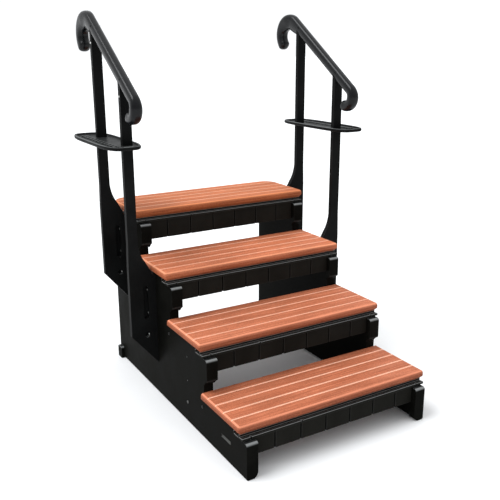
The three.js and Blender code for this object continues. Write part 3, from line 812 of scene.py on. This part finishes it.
def post_outline(step):
    """The post from the front: a plain bar above a foot that widens inwards to the panel."""
    top = top_of(step)
    outer = POST["centre"] + POST["width"] / 2
    inner = POST["centre"] - POST["width"] / 2
    seat = PANEL_OUTER + GAP
    start = Vector((inner, top + FLARE["top"]))
    pull = Vector((inner - FLARE["pull_in"], top + FLARE["pull_up"]))
    end = Vector((inner - FLARE["end_in"], top + FLARE["end_up"]))
    flare = []
    for i in range(FLARE["pieces"] + 1):
        t = i / FLARE["pieces"]
        flare.append(tuple(start * (1 - t) ** 2 + pull * (2 * t * (1 - t)) + end * t * t))
    head = rail_z(post_y(step)) + RAIL["half_height"] * HEAD_INTO_RAIL
    return [
        (seat, top - FOOT["seat"]), (POST_OUTER, top - FOOT["bottom"]), (POST_OUTER, top),
        (outer, top + FLARE["top"]), (outer, head), (inner, head), *flare,
        (FOOT["tuck"], top - FOOT["tuck_top"]), (FOOT["tuck"], top - FOOT["tuck_low"]),
        (seat, top - FOOT["tuck_low"]),
    ]


def post(where, step, side, sign):
    y, top = post_y(step), top_of(step)
    shape = prism(post_outline(step), "y", y - POST_DEPTH / 2, y + POST_DEPTH / 2)
    cutters = bmesh.new()
    depth = (y - POST_DEPTH, y + POST_DEPTH / 2 - SLOT["back"])
    middle = (SLOT["from"] + SLOT["to"]) / 2
    half = (SLOT["to"] - SLOT["from"]) / 2
    long_slot = arc(middle, top - SLOT["top"] - half, half, 0, 180, SLOT["pieces"])
    long_slot += arc(middle, top - SLOT["bottom"] + half, half, 180, 360, SLOT["pieces"])
    prism(long_slot, "y", *depth, cutters)
    rod((middle, top - BOLT_DROPS[-1]), half, "y", *depth, cutters, SLOT["sides"])
    shape = combined(shape, cutters, "DIFFERENCE")
    shape = to_side(combined(shape, rail_shape(GAP), "DIFFERENCE"), sign)
    name, nodes = f"upright_{where}_{side}", [f"post_{where}_{side}"]
    piece(name, shape, [POST_BLACK], nodes, bevel=3.2 * MM, segments=4, sharp=50)


# ---- trays ----------------------------------------------------------------------------------
TRAY_SQUARENESS = 3.9
TRAY_POINTS = 96
# Each row is the inset from the outer edge and the drop from the rim's top, in millimetres.
TRAY_PROFILE = [
    (14, 15.2), (6, 16.6), (2.2, 15.0), (0.4, 11.5), (0, 8.5), (0.3, 5.0), (1.6, 1.8), (3.6, 0.3),
    (5.6, 0.0), (7.6, 0.5), (9.0, 2.0), (10.4, 5.2), (12.2, 7.6), (15.5, 8.9), (20, 9.0),
]
TRAY_RIB = {
    "from": 590 * MM, "spacing": 15 * MM, "count": 2, "half": 4 * MM, "height": 5 * MM,
    "root": 3 * MM, "end": 62 * MM,
}


def tray_ring(inset, z):
    low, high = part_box("tray_right")
    centre = (low + high) / 2
    ring = []
    for turn in full_turn(TRAY_POINTS):
        across, along = rounded_square(turn, TRAY_SQUARENESS)
        x = centre.x + across * ((high.x - low.x) / 2 - inset)
        y = centre.y + along * ((high.y - low.y) / 2 - inset)
        ring.append((x, y, z))
    return ring


def tray(side, sign):
    """A plate with a rolled rim and two long ribs, cut out round both posts."""
    low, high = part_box("tray_right")
    shape = loft([tray_ring(inset * MM, high.z - drop * MM) for inset, drop in TRAY_PROFILE])
    deck = high.z - TRAY_PROFILE[-1][1] * MM
    centre_y = (low.y + high.y) / 2
    reach = (high.y - low.y) / 2 - TRAY_RIB["end"]
    ribs = bmesh.new()
    for n in range(TRAY_RIB["count"]):
        x = TRAY_RIB["from"] + n * TRAY_RIB["spacing"]
        half = TRAY_RIB["half"]
        outline = [*arc(x, centre_y + reach, half, 0, 180), *arc(x, centre_y - reach, half, 180, 360)]
        prism(outline, "z", deck - TRAY_RIB["root"], deck + TRAY_RIB["height"], ribs)
    shape = combined(shape, ribs, "UNION")
    cutters = bmesh.new()
    for step in RAIL_STEPS.values():
        half_x = POST["width"] / 2 + GAP
        half_y = POST_DEPTH / 2 + GAP
        y = post_y(step)
        sides = (POST["centre"] - half_x, POST["centre"] + half_x)
        height = (low.z - WELL_PAST, high.z + WELL_PAST)
        box_shape(sides, (y - half_y, y + half_y), height, cutters)
    shape = to_side(combined(shape, cutters, "DIFFERENCE"), sign)
    piece(
        f"shelf_tray_{side}", shape, [POST_BLACK], [f"tray_{side}"],
        bevel=0.8 * MM, segments=2, sharp=50, strip=1 * MM,
    )


# ---- fasteners ------------------------------------------------------------------------------
HEAD_HEIGHT = {"most": 4 * MM, "share": 5}
SHANK = {"radius": 0.5, "tip": 0.7, "chamfer": 0.4}
SOCKET = {"radius": 0.42, "depth": 0.7, "sides": 6}
HEAD_SIDES = 24
# Each row is the depth below the crown over the head's height, and the radius over the head's radius.
HEAD_PROFILE = [(1, 0.94), (0.86, 1), (0.55, 0.96), (0.25, 0.8), (0.07, 0.58), (0, 0.5)]


def fastener(node, sign):
    """A domed head with a six-sided socket, on a plain shank, where the CAD node is."""
    low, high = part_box(node)
    y, z = (low.y + high.y) / 2, (low.z + high.z) / 2
    head = (high.y - low.y) / 2
    tip, crown = (low.x, high.x) if sign > 0 else (-high.x, -low.x)
    height = min(HEAD_HEIGHT["most"], (crown - tip) / HEAD_HEIGHT["share"])
    shank = head * SHANK["radius"]
    profile = [(tip, shank * SHANK["tip"]), (tip + shank * SHANK["chamfer"], shank)]
    profile.append((crown - height, shank))
    profile += [(crown - height * depth, head * radius) for depth, radius in HEAD_PROFILE]
    rings = []
    for x, radius in profile:
        turns = full_turn(HEAD_SIDES)
        rings.append([(x, y + radius * math.cos(t), z + radius * math.sin(t)) for t in turns])
    depth = (crown - height * SOCKET["depth"], crown + PAST)
    socket = rod((y, z), head * SOCKET["radius"], "x", *depth, sides=SOCKET["sides"])
    shape = to_side(combined(loft(rings), socket, "DIFFERENCE"), sign)
    piece(f"{node}_steel", shape, [plating(node)], [node], sharp=30)


def plating(node):
    """Black joint bolts, dull side bolts and upper foot bolts, and bright zinc on the rest."""
    if "joint" in node:
        return BLACK_OXIDE
    if "side" in node or ("foot" in node and "_3_" not in node):
        return DULL_ZINC
    return ZINC


for side, sign in SIDES.items():
    for step in STEPS:
        side_panel(step, side, sign)
    rear_pad(side, sign)
    handrail(side, sign)
    tray(side, sign)
    for where, step in RAIL_STEPS.items():
        post(where, step, side, sign)
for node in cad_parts:
    if "bolt" in node or "screw" in node:
        fastener(node, 1 if node.endswith("right") else -1)

# ---- studio ---------------------------------------------------------------------------------
FLOOR = {"half": 60.0, "drop": 0.4 * MM}
# The light rises from dim to bright as a direction's share of the bright side goes from one to the other.
SURROUNDINGS = {
    "bright_side": (0.4, 0.7, 0.6), "share_when_dim": -0.5, "share_when_bright": 0.5,
    "dim": 0.68, "bright": 1.08, "tint": (0.97, 0.985, 1.0, 1),
}
OVERHEAD = {
    "energy": 1.95, "spread": math.radians(32), "tint": (0.96, 0.98, 1.0), "aim": (0.5, -0.14, -0.85),
}
CAMERA = {
    "place": (-1.5747, -2.6037, 1.5659), "azimuth": 30.593, "elevation": -16.571, "roll": -0.142,
    "sensor": 36, "lens": 50.61,
}


def floor():
    shape = bmesh.new()
    low, high = -FLOOR["half"], FLOOR["half"]
    corners = [(low, low), (high, low), (high, high), (low, high)]
    shape.faces.new([shape.verts.new((x, y, -FLOOR["drop"])) for x, y in corners])
    shader = Shader("pale_floor")
    grain = shader.noise(scale=3, detail=3)
    colour = shader.ramp(grain, (0.3, (0.93, 0.93, 0.93)), (0.7, (0.95, 0.95, 0.95)))
    roughness = shader.spread(grain, low=0.8, high=0.9)
    normal = shader.bump(grain, distance=0.1 * MM, strength=0.1)
    material = shader.finish(colour, roughness, normal, specular=0.1)
    new_object("studio_floor", bake_mesh(shape), [material])


def surroundings():
    """Soft light from all round, brightest from behind, above and to the right of the steps."""
    world = bpy.data.worlds.new("studio_world")
    world.use_nodes = True
    nodes, links = world.node_tree.nodes, world.node_tree.links
    facing = nodes.new("ShaderNodeVectorMath")
    facing.operation = "DOT_PRODUCT"
    facing.inputs[1].default_value = SURROUNDINGS["bright_side"]
    links.new(nodes.new("ShaderNodeTexCoord").outputs["Generated"], facing.inputs[0])
    level = nodes.new("ShaderNodeMapRange")
    level.inputs["From Min"].default_value = SURROUNDINGS["share_when_dim"]
    level.inputs["From Max"].default_value = SURROUNDINGS["share_when_bright"]
    level.inputs["To Min"].default_value = SURROUNDINGS["dim"]
    level.inputs["To Max"].default_value = SURROUNDINGS["bright"]
    links.new(facing.outputs["Value"], level.inputs["Value"])
    links.new(level.outputs["Result"], nodes["Background"].inputs["Strength"])
    nodes["Background"].inputs["Color"].default_value = SURROUNDINGS["tint"]
    bpy.context.scene.world = world


def overhead_light():
    """One wide soft light from above and the climber's left."""
    light = bpy.data.lights.new("overhead", "SUN")
    light.energy = OVERHEAD["energy"]
    light.angle = OVERHEAD["spread"]
    light.color = OVERHEAD["tint"]
    made = bpy.data.objects.new("overhead", light)
    bpy.context.scene.collection.objects.link(made)
    made.rotation_euler = Vector(OVERHEAD["aim"]).to_track_quat("-Z", "Y").to_euler()


def camera():
    """The viewing angle: from the front left at about eye height, looking down at the steps."""
    data = bpy.data.cameras.new("camera")
    made = bpy.data.objects.new("camera", data)
    bpy.context.scene.collection.objects.link(made)
    data.sensor_width = CAMERA["sensor"]
    data.lens = CAMERA["lens"]
    made.location = CAMERA["place"]
    turn = Matrix.Rotation(math.radians(-CAMERA["azimuth"]), 4, "Z")
    tilt = Matrix.Rotation(math.radians(90 + CAMERA["elevation"]), 4, "X")
    roll = Matrix.Rotation(math.radians(CAMERA["roll"]), 4, "Z")
    made.rotation_euler = (turn @ tilt @ roll).to_euler()
    bpy.context.scene.camera = made


floor()
surroundings()
overhead_light()
camera()
bpy.context.scene.view_settings.view_transform = "Standard"
